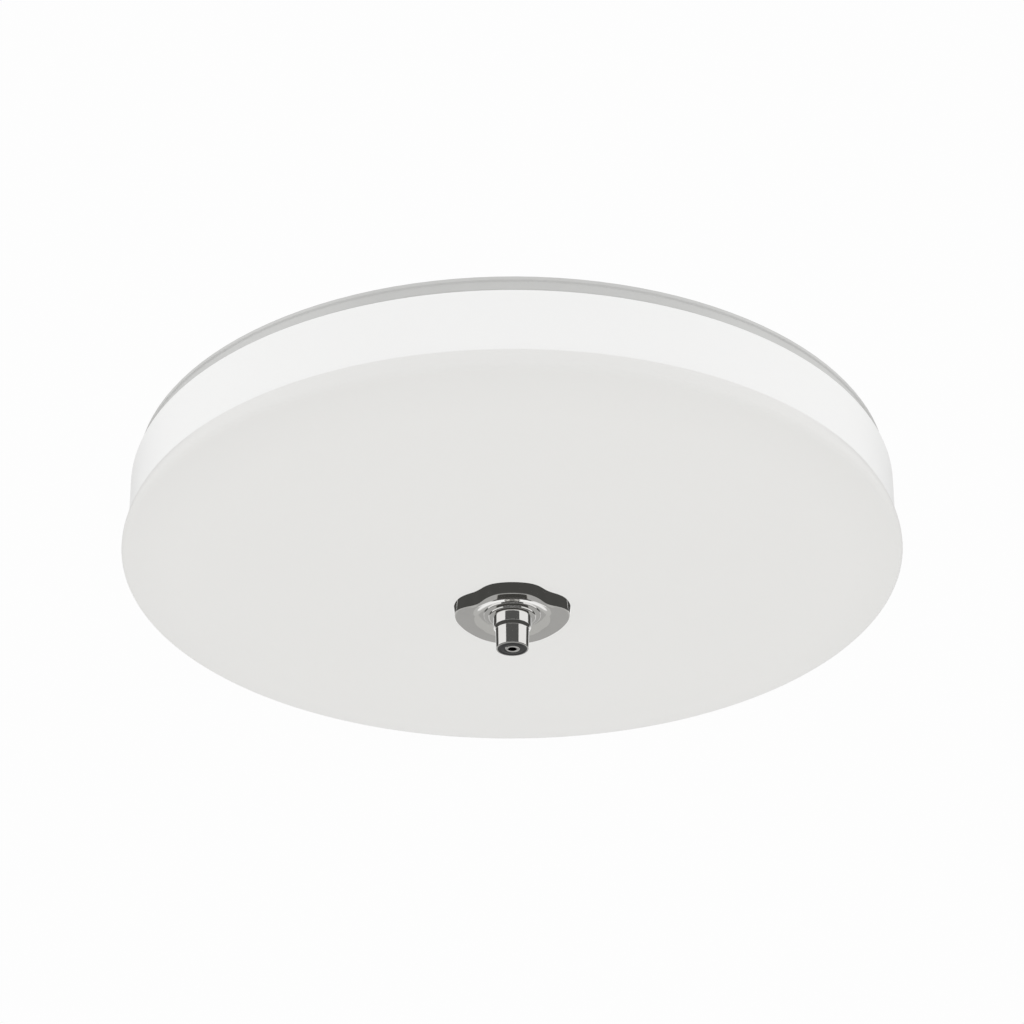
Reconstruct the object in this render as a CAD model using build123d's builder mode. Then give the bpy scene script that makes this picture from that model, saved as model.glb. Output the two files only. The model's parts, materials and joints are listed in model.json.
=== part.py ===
from build123d import *
from math import cos, hypot, pi, radians, sin, sqrt
import os

os.makedirs("parts", exist_ok=True)

# A flush mount LED ceiling light: an opal glass shade under a shallow steel pan, clamped by a
# lobed cap and a knob on a hollow threaded rod. The ceiling is z = 0 and the lamp hangs below it.

# Clearances
seat_gap = 0.05          # between pieces of one body that fit together
joint_gap = 0.3          # between pieces that move apart
thread_gap = 0.08        # knob thread on the rod, radial

# Glass shade
shade_radius = 165.0     # at the bulge, the widest place
rim_inset = 0.7          # rim's outer edge, inside the bulge
crease_inset = 2.05      # crease above the bulge, inside the bulge
glass_wall = 4.0
glass_corner = 3.0       # outer corner below the bulge
glass_inner_corner = 6.0
rim_drop = 7.0           # ceiling to the rim
crease_drop = 32.9
bulge_drop = 39.5
bottom_drop = 53.2       # ceiling to the lowest glass
bowl_radius = 2800.0     # the underside's nearly flat middle
shoulder_radius = 200.0  # where the underside rises to the corner
glass_hole_radius = 6.5
rim_round = 1.5          # rim's outer edge
rim_inner_round = 0.8

# Ceiling pan, pressed from sheet
pan_inset = 2.2          # pan's edge, inside the glass rim's outer edge
pan_sheet = 0.8
hem_height = 1.3
hem_step = 0.6
gasket_thickness = 0.6
gasket_reach = 1.6
register_gap = 1.0       # pan's step to the inside of the glass
plate_drop = 11.0        # ceiling to the plate's underside
bend_radius = 0.3
bead_radius = 134.0
bead_width = 5.0
bead_height = 1.5

# Mounting strap, for the two common ceiling box screw spacings
strap_length = 116.0
strap_width = 24.0
strap_thickness = 2.0
strap_corner = 6.0
slot_spacing = 79.4
slot_length = 18.0
slot_width = 4.6
earth_offset = 20.0      # earth screw, from the middle of the strap

# Rod and its nuts
rod_radius = 3.175
rod_bore_radius = 1.85
rod_top_drop = 0.4
thread_pitch = 0.9407
nut_flats = 11.0
nut_height = 3.0
nut_chamfer_angle = 60.0
washer_radius = 9.0
washer_thickness = 1.0
pan_hole_play = 0.8

# LED board
led_board_outer = 118.0
led_board_play = 1.8     # to the driver cover's ears
board_thickness = 1.6
chip_size = 3.5
chip_height = 0.7
inner_chip_ring = 78.0
inner_chip_count = 20
outer_chip_ring = 104.0
outer_chip_count = 28
board_screw_ring = 91.0
board_screw_count = 6
screw_radius = 1.5
screw_head_radius = 3.0
screw_head_height = 1.8
screw_play = 0.3

# Driver
driver_board_play = 5.0  # to the driver cover's wall
driver_board_inner = 13.0
standoff_height = 5.0
standoff_radius = 3.0
standoff_margin = 4.0    # standoffs in from the driver board's edge
standoff_count = 3
bushing_margin = 13.0    # its middle, in from the driver board's edge
bushing_angle = 210.0
bushing_neck_radius = 7.0
bushing_bore_radius = 5.0
bushing_lip = 1.4
bushing_lip_height = 1.2

# Driver cover
cover_radius = 52.0
cover_drop = 38.0        # ceiling to the cover's underside
cover_wall = 1.0
cover_corner = 3.0
cover_hole_play = 1.2
cover_screw_reach = 4.0  # screws out from the cover's wall
cover_screw_count = 3
cover_screw_angle = 100.0
cover_ear_radius = 3.2

# Cap, ring and knob
lobe_count = 4
lobe_depth = 2.5         # at the skirt's foot
lobe_face_depth = 3.9    # at the face, where the notches cut in deeper
lobe_breadth = 2.5       # power over 1 that broadens the lobes and narrows the notches
cap_radius = 25.4
cap_height = 4.4
cap_round = 2.5          # how far the skirt leans in before the face
cap_sheet = 1.0
cap_gasket_margin = 1.0  # gasket's hole, larger than the glass's
dish_radius = 17.5
dish_depth = 2.3
ring_radius = 12.1
ring_step_radius = 10.0
ring_step_height = 1.0
ring_round = 0.4
collar_radius = 8.0
collar_height = 4.6
shoulder_height = 1.0
barrel_radius = 7.1
barrel_end_radius = 6.9
knob_height = 14.5
knob_round = 0.4
collar_round = 0.3
knob_thread_turns = 8
end_disc_radius = 6.2
end_disc_thickness = 0.8

# Places that follow from the sizes above
rim_radius = shade_radius - rim_inset
crease_radius = shade_radius - crease_inset
rim_inner_radius = rim_radius - glass_wall
pan_radius = rim_radius - pan_inset
register_radius = rim_inner_radius - register_gap
ledge_z = -(rim_drop - joint_gap - gasket_thickness)
plate_z = -plate_drop
cover_screw_ring = cover_radius + cover_screw_reach
led_board_inner = cover_screw_ring + cover_ear_radius + led_board_play
driver_board_outer = cover_radius - cover_wall - driver_board_play
standoff_ring = driver_board_outer - standoff_margin
bushing_ring = driver_board_outer - bushing_margin

# The section of the glass's underside is a wide arc, a shoulder arc and the corner, each tangent to
# the next. The shoulder's centre is where its distances to the other two centres meet.
corner_centre_r = shade_radius - glass_corner
bowl_centre_z = bowl_radius - bottom_drop
centre_rise = bowl_centre_z + bulge_drop
centre_span = hypot(corner_centre_r, centre_rise)
bowl_reach = bowl_radius - shoulder_radius
span_share = (bowl_reach**2 - (shoulder_radius - glass_corner) ** 2 + centre_span**2) / (2 * centre_span)
span_offset = sqrt(bowl_reach**2 - span_share**2)
shoulder_r = (corner_centre_r * span_share - centre_rise * span_offset) / centre_span
shoulder_z = bowl_centre_z - (centre_rise * span_share + corner_centre_r * span_offset) / centre_span
shoulder_slope = shoulder_r / bowl_reach  # sine of the slope where the shoulder starts


def bowl_height(r, depth):
    """Height at radius r of the surface that lies the given depth inside the glass's underside."""
    if r < (bowl_radius - depth) * shoulder_slope:
        return bowl_centre_z - sqrt((bowl_radius - depth) ** 2 - r**2)
    return shoulder_z - sqrt((shoulder_radius - depth) ** 2 - (r - shoulder_r) ** 2)


def glass_under(r):
    """Height of the glass's lower surface at radius r."""
    return bowl_height(r, 0)


def glass_over(r):
    """Height of the glass's upper surface at radius r, over its floor."""
    return bowl_height(r, glass_wall)


def polar(radius, angle):
    """Point in plan at a radius and an angle in degrees."""
    return (radius * cos(radians(angle)), radius * sin(radians(angle)))


# ---- Ceiling side -----------------------------------------------------------------------

pan_hole_radius = rod_radius + pan_hole_play
skirt_radius = pan_radius - hem_step
bead_outer = bead_radius + bead_width / 2
bead_inner = bead_radius - bead_width / 2
outside_bend = bend_radius + pan_sheet
pan_path = [
    (pan_radius, 0),
    (pan_radius, -hem_height),
    (skirt_radius, -hem_height - hem_step),
    (skirt_radius, ledge_z),
    (register_radius, ledge_z),
    (register_radius, plate_z),
    (bead_outer + bead_height, plate_z),
    (bead_outer, plate_z - bead_height),
    (bead_inner, plate_z - bead_height),
    (bead_inner - bead_height, plate_z),
    (pan_hole_radius, plate_z),
]
pan_bends = [
    bend_radius,
    bend_radius,
    outside_bend,
    bend_radius,
    outside_bend,
    bend_radius,
    outside_bend,
    outside_bend,
    bend_radius,
]
screw_hole_radius = screw_radius + seat_gap
bushing_at = polar(bushing_ring, bushing_angle)

with BuildPart() as ceiling_pan:
    with BuildSketch(Plane.XZ):
        with BuildLine():
            FilletPolyline(*pan_path, radius=pan_bends)
            offset(amount=pan_sheet, side=Side.RIGHT)
        make_face()
    revolve(axis=Axis.Z)
    with BuildSketch(Plane.XY.offset(plate_z)):
        with PolarLocations(board_screw_ring, board_screw_count):
            Circle(screw_hole_radius)
        with PolarLocations(cover_screw_ring, cover_screw_count, cover_screw_angle):
            Circle(screw_hole_radius)
        with PolarLocations(standoff_ring, standoff_count):
            Circle(screw_hole_radius)
        with Locations(bushing_at):
            Circle(bushing_neck_radius + seat_gap)
    extrude(amount=pan_sheet * 2, both=True, mode=Mode.SUBTRACT)
ceiling_pan.part.label = "ceiling_pan"
export_step(ceiling_pan.part, "parts/ceiling_pan.step")

gasket_inner = register_radius + bend_radius + seat_gap
with BuildPart() as rim_gasket:
    with BuildSketch(Plane.XY.offset(ledge_z)):
        Circle(gasket_inner + gasket_reach)
        Circle(gasket_inner, mode=Mode.SUBTRACT)
    extrude(amount=-gasket_thickness)
rim_gasket.part.label = "rim_gasket"
export_step(rim_gasket.part, "parts/rim_gasket.step")

with BuildPart() as mounting_strap:
    with BuildSketch():
        RectangleRounded(strap_length, strap_width, strap_corner)
        with Locations((-slot_spacing / 2, 0), (slot_spacing / 2, 0)):
            SlotOverall(slot_length, slot_width, mode=Mode.SUBTRACT)
        Circle(rod_radius + seat_gap, mode=Mode.SUBTRACT)
        with Locations((earth_offset, 0)):
            Circle(screw_hole_radius, mode=Mode.SUBTRACT)
    extrude(amount=-strap_thickness)
mounting_strap.part.label = "mounting_strap"
export_step(mounting_strap.part, "parts/mounting_strap.step")

with BuildPart() as earth_screw:
    with BuildSketch(Plane.XY.offset(-rod_top_drop)):
        with Locations((earth_offset, 0)):
            Circle(screw_radius)
    extrude(amount=-(strap_thickness - rod_top_drop))
    with BuildSketch(Plane.XY.offset(-strap_thickness)):
        with Locations((earth_offset, 0)):
            RegularPolygon(screw_head_radius, 6)
    extrude(amount=-screw_head_height)
earth_screw.part.label = "earth_screw"
export_step(earth_screw.part, "parts/earth_screw.step")

with BuildPart() as strap_nut:
    with BuildSketch(Plane.XY.offset(-strap_thickness)):
        RegularPolygon(nut_flats / 2, 6, major_radius=False)
    extrude(amount=-nut_height)
    with BuildSketch(Plane.XY.offset(-strap_thickness - nut_height)):
        Circle(nut_flats / 2)
    extrude(amount=nut_height, taper=-nut_chamfer_angle, mode=Mode.INTERSECT)
    with BuildSketch(Plane.XY.offset(-strap_thickness)):
        Circle(rod_radius + seat_gap)
    extrude(amount=-nut_height, mode=Mode.SUBTRACT)
strap_nut.part.label = "strap_nut"
export_step(strap_nut.part, "parts/strap_nut.step")

with BuildPart() as pan_washer:
    with BuildSketch(Plane.XY.offset(plate_z)):
        Circle(washer_radius)
        Circle(rod_radius + seat_gap, mode=Mode.SUBTRACT)
    extrude(amount=-washer_thickness)
pan_washer.part.label = "pan_washer"
export_step(pan_washer.part, "parts/pan_washer.step")

with BuildPart() as pan_nut:
    with BuildSketch(Plane.XY.offset(plate_z - washer_thickness)):
        RegularPolygon(nut_flats / 2, 6, major_radius=False)
    extrude(amount=-nut_height)
    with BuildSketch(Plane.XY.offset(plate_z - washer_thickness - nut_height)):
        Circle(nut_flats / 2)
    extrude(amount=nut_height, taper=-nut_chamfer_angle, mode=Mode.INTERSECT)
    with BuildSketch(Plane.XY.offset(plate_z - washer_thickness)):
        Circle(rod_radius + seat_gap)
    extrude(amount=-nut_height, mode=Mode.SUBTRACT)
pan_nut.part.label = "pan_nut"
export_step(pan_nut.part, "parts/pan_nut.step")

# ---- LED board --------------------------------------------------------------------------

with BuildPart() as led_board:
    with BuildSketch(Plane.XY.offset(plate_z)):
        Circle(led_board_outer)
        Circle(led_board_inner, mode=Mode.SUBTRACT)
        with PolarLocations(board_screw_ring, board_screw_count):
            Circle(screw_radius + screw_play, mode=Mode.SUBTRACT)
    extrude(amount=-board_thickness)
led_board.part.label = "led_board"
export_step(led_board.part, "parts/led_board.step")

chip_z = plate_z - board_thickness
with BuildPart() as led_chips:
    with BuildSketch(Plane.XY.offset(chip_z)):
        with PolarLocations(inner_chip_ring, inner_chip_count, 180 / inner_chip_count):
            Rectangle(chip_size, chip_size)
        with PolarLocations(outer_chip_ring, outer_chip_count, 180 / outer_chip_count):
            Rectangle(chip_size, chip_size)
    extrude(amount=-chip_height)
led_chips.part.label = "led_chips"
export_step(led_chips.part, "parts/led_chips.step")

with BuildPart() as board_screws:
    with BuildSketch(Plane.XY.offset(chip_z)):
        with PolarLocations(board_screw_ring, board_screw_count):
            Circle(screw_head_radius)
    extrude(amount=-screw_head_height)
    with BuildSketch(Plane.XY.offset(chip_z)):
        with PolarLocations(board_screw_ring, board_screw_count):
            Circle(screw_radius)
    extrude(amount=board_thickness + 2 * pan_sheet)
board_screws.part.label = "board_screws"
export_step(board_screws.part, "parts/board_screws.step")

# ---- Driver -----------------------------------------------------------------------------

driver_top = plate_z - standoff_height
driver_z = driver_top - board_thickness

with BuildPart() as board_standoffs:
    with BuildSketch(Plane.XY.offset(plate_z)):
        with PolarLocations(standoff_ring, standoff_count):
            Circle(standoff_radius)
    extrude(amount=-standoff_height)
    with BuildSketch(Plane.XY.offset(plate_z)):
        with PolarLocations(standoff_ring, standoff_count):
            Circle(screw_radius)
    extrude(amount=pan_sheet)
    with BuildSketch(Plane.XY.offset(driver_top)):
        with PolarLocations(standoff_ring, standoff_count):
            Circle(screw_hole_radius)
    extrude(amount=standoff_height - pan_sheet, mode=Mode.SUBTRACT)
board_standoffs.part.label = "board_standoffs"
export_step(board_standoffs.part, "parts/board_standoffs.step")

with BuildPart() as standoff_screws:
    with BuildSketch(Plane.XY.offset(driver_z)):
        with PolarLocations(standoff_ring, standoff_count):
            Circle(screw_head_radius)
    extrude(amount=-screw_head_height)
    with BuildSketch(Plane.XY.offset(driver_z)):
        with PolarLocations(standoff_ring, standoff_count):
            Circle(screw_radius)
    extrude(amount=board_thickness + standoff_height / 2)
standoff_screws.part.label = "standoff_screws"
export_step(standoff_screws.part, "parts/standoff_screws.step")

with BuildPart() as driver_board:
    with BuildSketch(Plane.XY.offset(driver_top)):
        Circle(driver_board_outer)
        Circle(driver_board_inner, mode=Mode.SUBTRACT)
        with PolarLocations(standoff_ring, standoff_count):
            Circle(screw_radius + screw_play, mode=Mode.SUBTRACT)
        with Locations(bushing_at):
            Circle(bushing_neck_radius + bushing_lip + screw_play, mode=Mode.SUBTRACT)
    extrude(amount=-board_thickness)
driver_board.part.label = "driver_board"
export_step(driver_board.part, "parts/driver_board.step")

with BuildPart() as wire_bushing:
    with BuildSketch(Plane.XY.offset(plate_z)):
        with Locations(bushing_at):
            Circle(bushing_neck_radius)
    extrude(amount=pan_sheet)
    for lip_z, lip_way in ((plate_z + pan_sheet, 1), (plate_z, -1)):
        with BuildSketch(Plane.XY.offset(lip_z)):
            with Locations(bushing_at):
                Circle(bushing_neck_radius + bushing_lip)
        extrude(amount=lip_way * bushing_lip_height)
    with BuildSketch(Plane.XY.offset(plate_z)):
        with Locations(bushing_at):
            Circle(bushing_bore_radius)
    extrude(amount=2 * (pan_sheet + bushing_lip_height), both=True, mode=Mode.SUBTRACT)
wire_bushing.part.label = "wire_bushing"
export_step(wire_bushing.part, "parts/wire_bushing.step")

# Parts on the driver board hang from its underside.
transformer_margin = 16.0  # each margin is a part's middle, in from the driver board's edge
transformer_at = (0, driver_board_outer - transformer_margin)
core_width = 20.0
core_depth = 7.0
core_height = 14.0
core_leg = 2.3
core_post = 4.0          # middle leg, which carries the bobbin
coil_depth = 15.0
coil_round = 1.5
bobbin_flange = 1.2
bobbin_rim = 0.6         # flange past the winding
window_width = core_width - 2 * core_leg
window_height = core_height - 2 * core_leg
core_middle_z = driver_z - core_height / 2
with BuildPart() as transformer_core:
    with BuildSketch(Plane.XY.offset(driver_z)):
        with Locations(transformer_at):
            Rectangle(core_width, core_depth)
    extrude(amount=-core_height)
    with BuildSketch(Plane.XZ.offset(-transformer_at[1])):
        with Locations((transformer_at[0], core_middle_z)):
            Rectangle(window_width, window_height)
            Rectangle(window_width, core_post, mode=Mode.SUBTRACT)
    extrude(amount=core_depth, both=True, mode=Mode.SUBTRACT)
transformer_core.part.label = "transformer_core"
export_step(transformer_core.part, "parts/transformer_core.step")

# The bobbin's two flanges stand on the board, one each side of the core's upper leg.
flange_offset = window_width / 2 - seat_gap - bobbin_flange / 2
flange_height = core_leg + window_height - seat_gap
with BuildPart() as transformer_coil:
    with BuildSketch(Plane.YZ.offset(transformer_at[0])):
        with Locations((transformer_at[1], core_middle_z)):
            RectangleRounded(coil_depth, window_height - 2 * bobbin_rim, coil_round)
    extrude(amount=flange_offset, both=True)
    for flange_way in (-1, 1):
        with BuildSketch(Plane.YZ.offset(transformer_at[0] + flange_way * flange_offset)):
            with Locations((transformer_at[1], driver_z - flange_height / 2)):
                Rectangle(coil_depth + 2 * bobbin_rim, flange_height)
            with Locations((transformer_at[1], driver_z - (core_leg + seat_gap) / 2)):
                Rectangle(core_depth + 2 * seat_gap, core_leg + seat_gap, mode=Mode.SUBTRACT)
        extrude(amount=bobbin_flange / 2, both=True)
    with BuildSketch(Plane.YZ.offset(transformer_at[0])):
        with Locations((transformer_at[1], core_middle_z)):
            Rectangle(core_depth + 2 * seat_gap, core_post + 2 * seat_gap)
    extrude(amount=window_width / 2, both=True, mode=Mode.SUBTRACT)
transformer_coil.part.label = "transformer_coil"
export_step(transformer_coil.part, "parts/transformer_coil.step")

capacitor_margin = 15.0
capacitor_angle = 305.0
capacitor_radius = 6.25
capacitor_height = 16.0
capacitor_chamfer = 0.6
crimp_drop = 2.0         # crimp in the can, from the board
crimp_width = 0.8
crimp_depth = 0.4
capacitor_at = polar(driver_board_outer - capacitor_margin, capacitor_angle)
with BuildPart() as bulk_capacitor:
    with BuildSketch(Plane.XY.offset(driver_z)):
        with Locations(capacitor_at):
            Circle(capacitor_radius)
    extrude(amount=-capacitor_height)
    chamfer(bulk_capacitor.faces().sort_by(Axis.Z)[0].edges(), capacitor_chamfer)
    with BuildSketch(Plane.XY.offset(driver_z - crimp_drop)):
        with Locations(capacitor_at):
            Circle(capacitor_radius + crimp_depth)
            Circle(capacitor_radius - crimp_depth, mode=Mode.SUBTRACT)
    extrude(amount=-crimp_width, mode=Mode.SUBTRACT)
bulk_capacitor.part.label = "bulk_capacitor"
export_step(bulk_capacitor.part, "parts/bulk_capacitor.step")

film_capacitor_size = (13.0, 6.0, 11.0)
film_capacitor_margin = 16.0
film_capacitor_angles = (25.0, 152.0)
film_capacitor_ring = driver_board_outer - film_capacitor_margin
with BuildPart() as film_capacitors:
    with BuildSketch(Plane.XY.offset(driver_z)):
        for film_angle in film_capacitor_angles:
            with PolarLocations(film_capacitor_ring, 1, film_angle):
                Rectangle(film_capacitor_size[1], film_capacitor_size[0])
    extrude(amount=-film_capacitor_size[2])
film_capacitors.part.label = "film_capacitors"
export_step(film_capacitors.part, "parts/film_capacitors.step")

switch_margin = 19.0
switch_ring = driver_board_outer - switch_margin
switch_angle = 345.0
switch_size = (4.5, 10.0, 9.0)
tab_thickness = 1.3
tab_height = 15.5
tab_hole_radius = 1.9
switch_out = Vector(*polar(1, switch_angle))
tab_hole_at = switch_out * switch_ring + Vector(0, 0, driver_z - (switch_size[2] + tab_height) / 2)
with BuildPart() as power_switch:
    with BuildSketch(Plane.XY.offset(driver_z)):
        with PolarLocations(switch_ring, 1, switch_angle):
            Rectangle(switch_size[0], switch_size[1])
    extrude(amount=-switch_size[2])
    with BuildSketch(Plane.XY.offset(driver_z)):
        with PolarLocations(switch_ring + (switch_size[0] + tab_thickness) / 2, 1, switch_angle):
            Rectangle(tab_thickness, switch_size[1])
    extrude(amount=-tab_height)
    with BuildSketch(Plane(tab_hole_at, z_dir=switch_out)):
        Circle(tab_hole_radius)
    extrude(amount=switch_size[0] + tab_thickness, mode=Mode.SUBTRACT)
power_switch.part.label = "power_switch"
export_step(power_switch.part, "parts/power_switch.step")

terminal_margin = 14.0
terminal_ring = driver_board_outer - terminal_margin
terminal_angle = 262.0
terminal_size = (10.0, 13.0, 9.0)
terminal_way_radius = 1.5
terminal_way_depth = 9.0
terminal_way_spacing = 4.6
terminal_out = Vector(*polar(1, terminal_angle))
terminal_face = Plane(
    terminal_out * terminal_ring + Vector(0, 0, driver_z - terminal_size[2] / 2),
    x_dir=terminal_out,
    z_dir=terminal_out.cross(Vector(0, 0, 1)),
).offset(terminal_size[1] / 2)
with BuildPart() as terminal_block:
    with BuildSketch(Plane.XY.offset(driver_z)):
        with PolarLocations(terminal_ring, 1, terminal_angle):
            Rectangle(terminal_size[0], terminal_size[1])
    extrude(amount=-terminal_size[2])
    with BuildSketch(terminal_face):
        with Locations((-terminal_way_spacing / 2, 0), (terminal_way_spacing / 2, 0)):
            Circle(terminal_way_radius)
    extrude(amount=-terminal_way_depth, mode=Mode.SUBTRACT)
terminal_block.part.label = "terminal_block"
export_step(terminal_block.part, "parts/terminal_block.step")

plug_margin = 8.0
plug_ring = driver_board_outer - plug_margin
plug_angle = 62.0
plug_size = (6.0, 7.0, 5.0)
with BuildPart() as led_plug:
    with BuildSketch(Plane.XY.offset(driver_z)):
        with PolarLocations(plug_ring, 1, plug_angle):
            Rectangle(plug_size[0], plug_size[1])
    extrude(amount=-plug_size[2])
led_plug.part.label = "led_plug"
export_step(led_plug.part, "parts/led_plug.step")

# The LED leads leave the driver's plug, rise between the board and the cover, pass a notch in the
# cover's top edge and end in a plug on the LED board.
board_plug_size = (6.0, 7.0, 3.6)
board_plug_gap = 2.0     # plug in from the LED board's inner edge
lead_radius = 0.7
lead_spacing = 3.0
lead_bend = 2.5
lead_exit_drop = 2.4     # below the driver board
lead_notch_play = 0.6
lead_start = plug_ring + plug_size[0] / 2
lead_rise = (driver_board_outer + cover_radius - cover_wall) / 2
lead_cross_z = plate_z - board_thickness - board_plug_size[2] / 2
lead_end = led_board_inner + board_plug_gap
lead_notch_half = lead_spacing / 2 + lead_radius + lead_notch_play
lead_notch_z = lead_cross_z - lead_radius - lead_notch_play
lead_out = Vector(*polar(1, plug_angle))
lead_plane = Plane((0, 0, 0), x_dir=lead_out, z_dir=lead_out.cross(Vector(0, 0, 1)))

# ---- Driver cover -----------------------------------------------------------------------

cover_z = -cover_drop
with BuildPart() as driver_cover:
    with BuildSketch(Plane.XY.offset(plate_z)):
        Circle(cover_radius)
    extrude(amount=cover_z - plate_z)
    fillet(driver_cover.faces().sort_by(Axis.Z)[0].edges(), cover_corner)
    with BuildSketch(Plane.XY.offset(plate_z)):
        with PolarLocations(cover_screw_ring, cover_screw_count, cover_screw_angle):
            Circle(cover_ear_radius)
            with Locations((-cover_ear_radius, 0)):
                Rectangle(2 * cover_ear_radius, 2 * cover_ear_radius)
    extrude(amount=-cover_wall)
    with BuildSketch(Plane.XY.offset(plate_z)):
        Circle(cover_radius - cover_wall)
    extrude(amount=cover_z + cover_wall - plate_z, mode=Mode.SUBTRACT)
    with BuildSketch(Plane.XY.offset(cover_z)):
        Circle(rod_radius + cover_hole_play)
    extrude(amount=cover_wall * 2, mode=Mode.SUBTRACT)
    with BuildSketch(Plane.XY.offset(plate_z)):
        with PolarLocations(cover_screw_ring, cover_screw_count, cover_screw_angle):
            Circle(screw_hole_radius)
    extrude(amount=-cover_wall, mode=Mode.SUBTRACT)
    with BuildSketch(Plane.XY.offset(plate_z)):
        with PolarLocations(cover_radius, 1, plug_angle):
            Rectangle(4 * cover_wall, 2 * lead_notch_half)
    extrude(amount=lead_notch_z - plate_z, mode=Mode.SUBTRACT)
driver_cover.part.label = "driver_cover"
export_step(driver_cover.part, "parts/driver_cover.step")

cover_head_z = plate_z - cover_wall
with BuildPart() as cover_screws:
    with BuildSketch(Plane.XY.offset(cover_head_z)):
        with PolarLocations(cover_screw_ring, cover_screw_count, cover_screw_angle):
            Circle(screw_head_radius)
    extrude(amount=-screw_head_height)
    with BuildSketch(Plane.XY.offset(cover_head_z)):
        with PolarLocations(cover_screw_ring, cover_screw_count, cover_screw_angle):
            Circle(screw_radius)
    extrude(amount=cover_wall + 2 * pan_sheet)
cover_screws.part.label = "cover_screws"
export_step(cover_screws.part, "parts/cover_screws.step")

with BuildPart() as board_plug:
    with BuildSketch(Plane.XY.offset(chip_z)):
        with PolarLocations(lead_end + board_plug_size[0] / 2, 1, plug_angle):
            Rectangle(board_plug_size[0], board_plug_size[1])
    extrude(amount=-board_plug_size[2])
board_plug.part.label = "board_plug"
export_step(board_plug.part, "parts/board_plug.step")

with BuildPart() as lead_pair:
    for side in (-1, 1):
        lead_place = lead_plane.offset(side * lead_spacing / 2)
        with BuildLine(lead_place) as lead_path:
            FilletPolyline(
                (lead_start, driver_z - lead_exit_drop),
                (lead_rise, driver_z - lead_exit_drop),
                (lead_rise, lead_cross_z),
                (lead_end, lead_cross_z),
                radius=lead_bend,
            )
        with BuildSketch(Plane(origin=lead_path.line @ 0, z_dir=lead_path.line % 0)):
            Circle(lead_radius)
        sweep(path=lead_path.line)
lead_pair.part.label = "lead_pair"
export_step(lead_pair.part, "parts/lead_pair.step")

# ---- Shade ------------------------------------------------------------------------------

bulge_point = (shade_radius, -bulge_drop)
crease_point = (crease_radius, -crease_drop)
rim_point = (rim_radius, -rim_drop)
tangent_share = shoulder_radius / (shoulder_radius - glass_corner)
tangent_r = shoulder_r + (corner_centre_r - shoulder_r) * tangent_share
tangent_point = (tangent_r, glass_under(tangent_r))
shoulder_start = bowl_radius * shoulder_slope
inner_shoulder_start = (bowl_radius - glass_wall) * shoulder_slope
wall_foot_radius = crease_radius - glass_wall

with BuildPart() as glass_shade:
    with BuildSketch(Plane.XZ) as shade_section:
        with BuildLine():
            RadiusArc(
                (glass_hole_radius, glass_under(glass_hole_radius)),
                (shoulder_start, glass_under(shoulder_start)),
                -bowl_radius,
            )
            RadiusArc((shoulder_start, glass_under(shoulder_start)), tangent_point, -shoulder_radius)
            TangentArc(bulge_point, tangent_point, tangent=(0, -1))
            TangentArc(bulge_point, crease_point, tangent=(0, 1))
            Polyline(
                crease_point,
                rim_point,
                (rim_inner_radius, -rim_drop),
                (wall_foot_radius, -crease_drop),
                (wall_foot_radius, glass_over(wall_foot_radius)),
            )
            RadiusArc(
                (inner_shoulder_start, glass_over(inner_shoulder_start)),
                (wall_foot_radius, glass_over(wall_foot_radius)),
                -(shoulder_radius - glass_wall),
            )
            RadiusArc(
                (glass_hole_radius, glass_over(glass_hole_radius)),
                (inner_shoulder_start, glass_over(inner_shoulder_start)),
                -(bowl_radius - glass_wall),
            )
            Line(
                (glass_hole_radius, glass_over(glass_hole_radius)),
                (glass_hole_radius, glass_under(glass_hole_radius)),
            )
        make_face()
        inner_corner = shade_section.vertices().sort_by_distance(
            (wall_foot_radius, glass_over(wall_foot_radius), 0)
        )[0]
        fillet(inner_corner, glass_inner_corner)
        fillet(shade_section.vertices().sort_by_distance((rim_radius, -rim_drop, 0))[0], rim_round)
        fillet(
            shade_section.vertices().sort_by_distance((rim_inner_radius, -rim_drop, 0))[0],
            rim_inner_round,
        )
    revolve(axis=Axis.Z)
glass_shade.part.label = "glass_shade"
export_step(glass_shade.part, "parts/glass_shade.step")

grommet_play = 0.5
grommet_lip = 2.5
grommet_lip_height = 1.0
lip_seat = glass_over(glass_hole_radius + grommet_lip) + seat_gap
grommet_foot = glass_under(glass_hole_radius) + seat_gap
with BuildPart() as hole_grommet:
    with BuildSketch(Plane.XY.offset(lip_seat)):
        Circle(glass_hole_radius + grommet_lip)
    extrude(amount=grommet_lip_height)
    with BuildSketch(Plane.XY.offset(lip_seat)):
        Circle(glass_hole_radius - seat_gap)
    extrude(amount=grommet_foot - lip_seat)
    with BuildSketch(Plane.XY.offset(grommet_foot)):
        Circle(rod_radius + grommet_play)
    extrude(amount=2 * glass_wall, mode=Mode.SUBTRACT)
hole_grommet.part.label = "hole_grommet"
export_step(hole_grommet.part, "parts/hole_grommet.step")

# The cap is pressed from sheet. Its skirt has lobes, the first one towards -Y, and leans in to a
# flat face with a round dish in the middle. Its inside follows one sheet thickness away.
cap_top = glass_under(cap_radius - cap_sheet - lobe_depth) - seat_gap
face_z = cap_top - cap_height
dish_z = face_z + dish_depth
skirt_steps = 4
outline_points_per_lobe = 10


def skirt_outline(lean, sheet):
    """Points of the skirt's lobed outline at a lean in radians, that far inside the outer face."""
    share = 1 - cos(lean)
    radius = cap_radius - sheet - cap_round * share
    depth = lobe_depth + (lobe_face_depth - lobe_depth) * share
    count = lobe_count * outline_points_per_lobe
    points = []
    for step in range(count):
        turn = 2 * pi * step / count
        r = radius - depth * ((1 - cos(lobe_count * turn)) / 2) ** lobe_breadth
        points.append((r * sin(turn), -r * cos(turn)))
    return points


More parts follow.
